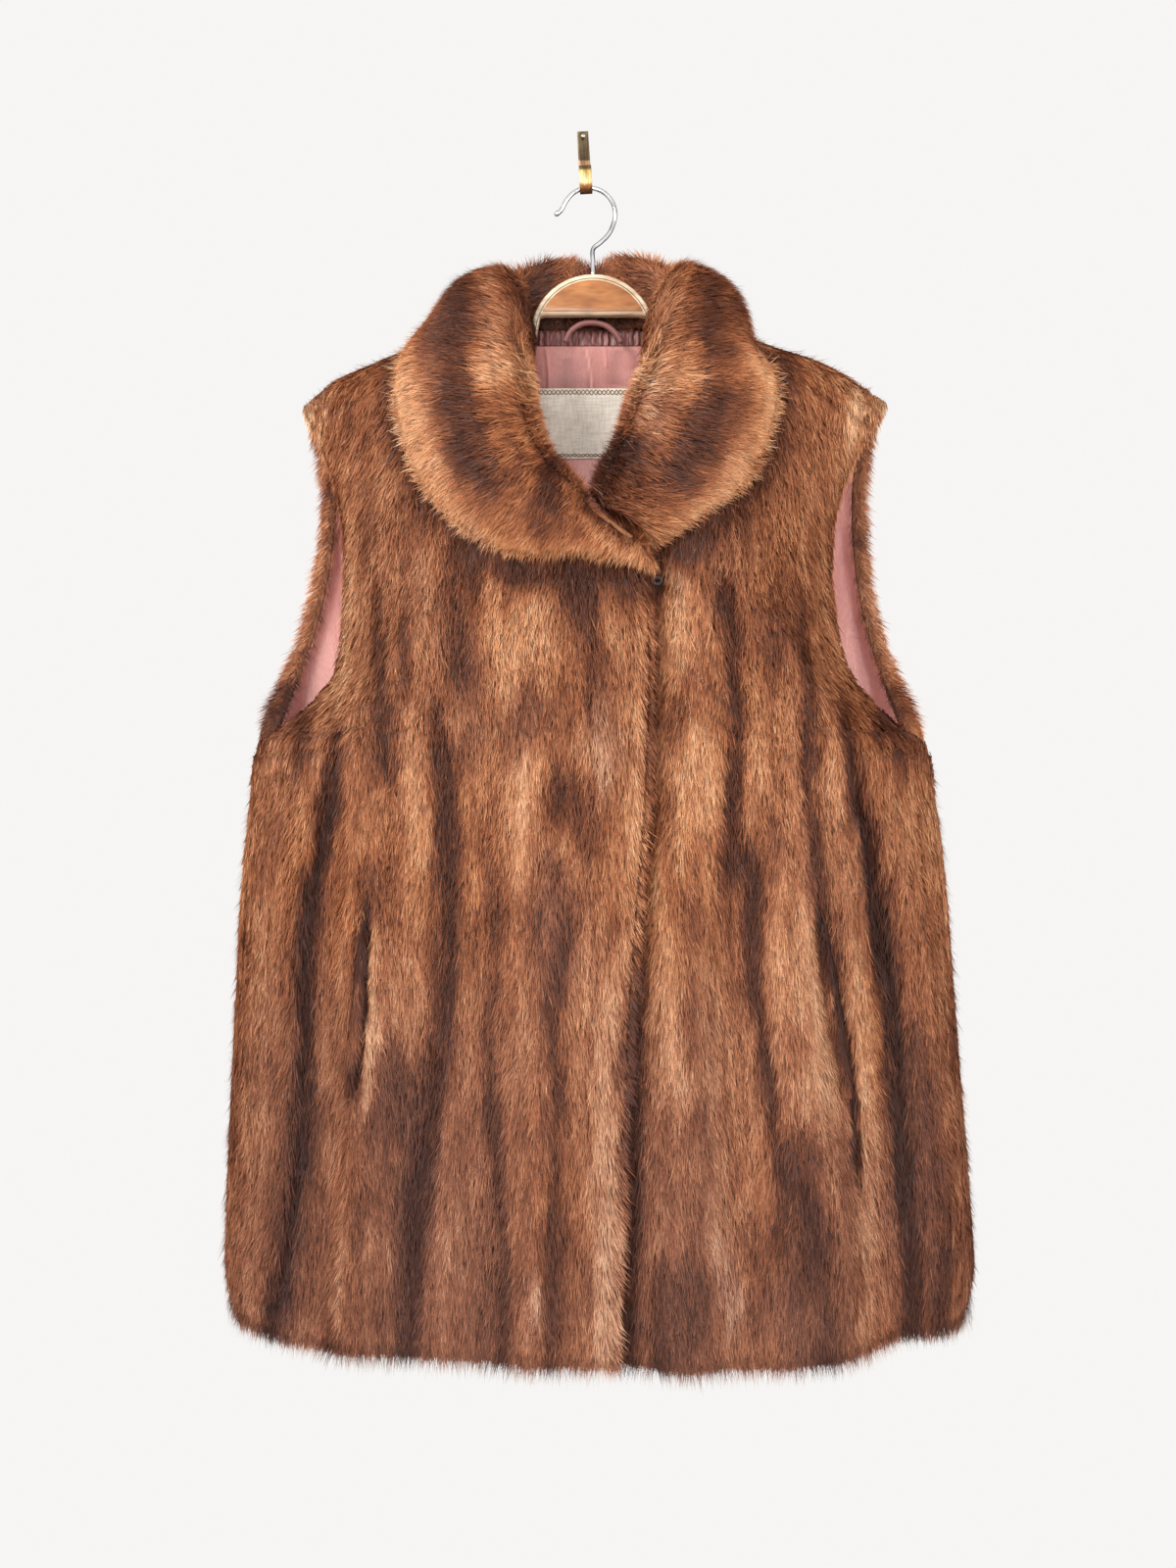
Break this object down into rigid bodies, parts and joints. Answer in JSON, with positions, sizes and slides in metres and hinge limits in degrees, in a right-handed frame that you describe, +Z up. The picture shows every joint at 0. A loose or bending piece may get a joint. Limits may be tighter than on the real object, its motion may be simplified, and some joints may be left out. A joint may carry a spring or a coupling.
{
  "type": "fur vest on a hanger and wall hook",
  "caption": "Sleeveless fur vest with a large rolled collar, hung on a wooden hanger from a small wall hook.",
  "frame": {"origin": "on the wall, at the back face of the wall hook's plate, behind its nail", "axes": "+X to the right of someone who looks at the vest, +Y into the wall, +Z up"},
  "size_m": [0.5905, 0.1441, 0.9799],
  "materials": {
    "fur": "dense soft brown fur with darker pelt stripes",
    "satin": "rose satin with a soft sheen",
    "label_cloth": "cream woven ribbon, bare",
    "dark_cord": "dark thread over wire",
    "pale_wood": "lacquered pale wood",
    "honey_wood": "lacquered honey wood",
    "chrome": "bright plated wire",
    "brass": "polished and darkened brass"
  },
  "bodies": {
    "root": {"back": "fur", "front_right_over": "fur", "front_left_under": "fur", "collar": "fur", "pocket_welt_right": "fur", "pocket_welt_left": "fur", "back_lining": "satin", "neck_yoke": "satin", "ruched_band": "satin", "hanging_loop": "satin", "label": "label_cloth", "fur_eye": "dark_cord", "hanger": "pale_wood", "hanger_panel": "honey_wood", "hanger_hook": "chrome", "wall_hook": "brass", "nail": "brass"}
  },
  "joints": []
}
